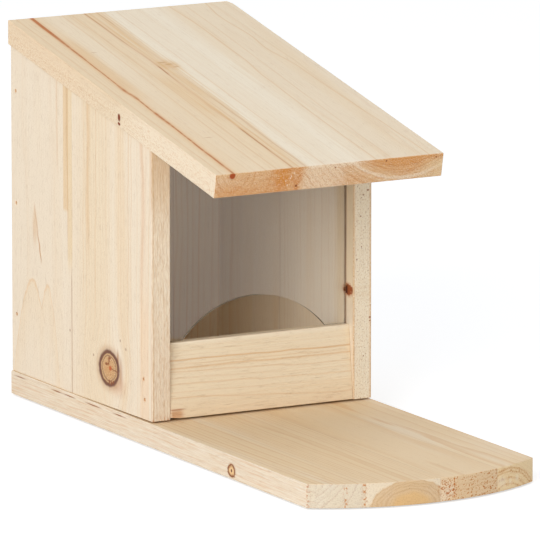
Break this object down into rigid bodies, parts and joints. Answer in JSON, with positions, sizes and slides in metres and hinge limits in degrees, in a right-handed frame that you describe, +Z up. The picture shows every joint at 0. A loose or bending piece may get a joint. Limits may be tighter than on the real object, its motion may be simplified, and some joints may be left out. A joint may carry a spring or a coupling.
{
  "type": "wooden squirrel feeder",
  "caption": "Narrow pine feeder box with a long round-fronted platform, a clear window with an arched mouth above a low rail, and a sloping roof that lifts on rear hinges.",
  "frame": {"origin": "on the underside of the base, on the centre plane, straight below the front edges of the side boards", "axes": "+Z up, +Y to the back of the feeder, +X to the right as seen from the front"},
  "size_m": [0.123, 0.3205, 0.1859],
  "materials": {
    "body_pine": "planed bare pine",
    "base_pine": "planed bare pine",
    "roof_pine": "planed bare pine",
    "acrylic": "clear, slightly hazy",
    "hinge_brass": "plated, satin",
    "screw_brass": "plated, satin",
    "brad_steel": "dull, browned",
    "screw_steel": "zinc plated"
  },
  "bodies": {
    "housing": {"base_board": "base_pine", "left_side": "body_pine", "right_side": "body_pine", "back_board": "body_pine", "front_rail": "body_pine", "window_pane": "acrylic", "left_hinge_wall_leaf": "hinge_brass", "right_hinge_wall_leaf": "hinge_brass", "left_hinge_pin": "hinge_brass", "right_hinge_pin": "hinge_brass", "hinge_wall_screws": "screw_brass", "left_back_brads": "brad_steel", "right_back_brads": "brad_steel", "left_rail_brads": "brad_steel", "right_rail_brads": "brad_steel", "base_side_screws": "screw_steel", "base_back_screws": "screw_steel"},
    "roof": {"roof_board": "roof_pine", "left_hinge_roof_leaf": "hinge_brass", "right_hinge_roof_leaf": "hinge_brass", "hinge_roof_screws": "screw_brass"}
  },
  "joints": [
    {"name": "roof_hinge", "type": "hinge", "parent": "housing", "child": "roof", "pos_m": [0, 0.1479, 0.17394], "axis": [-1, 0, 0], "range_deg": [0, 180]}
  ]
}
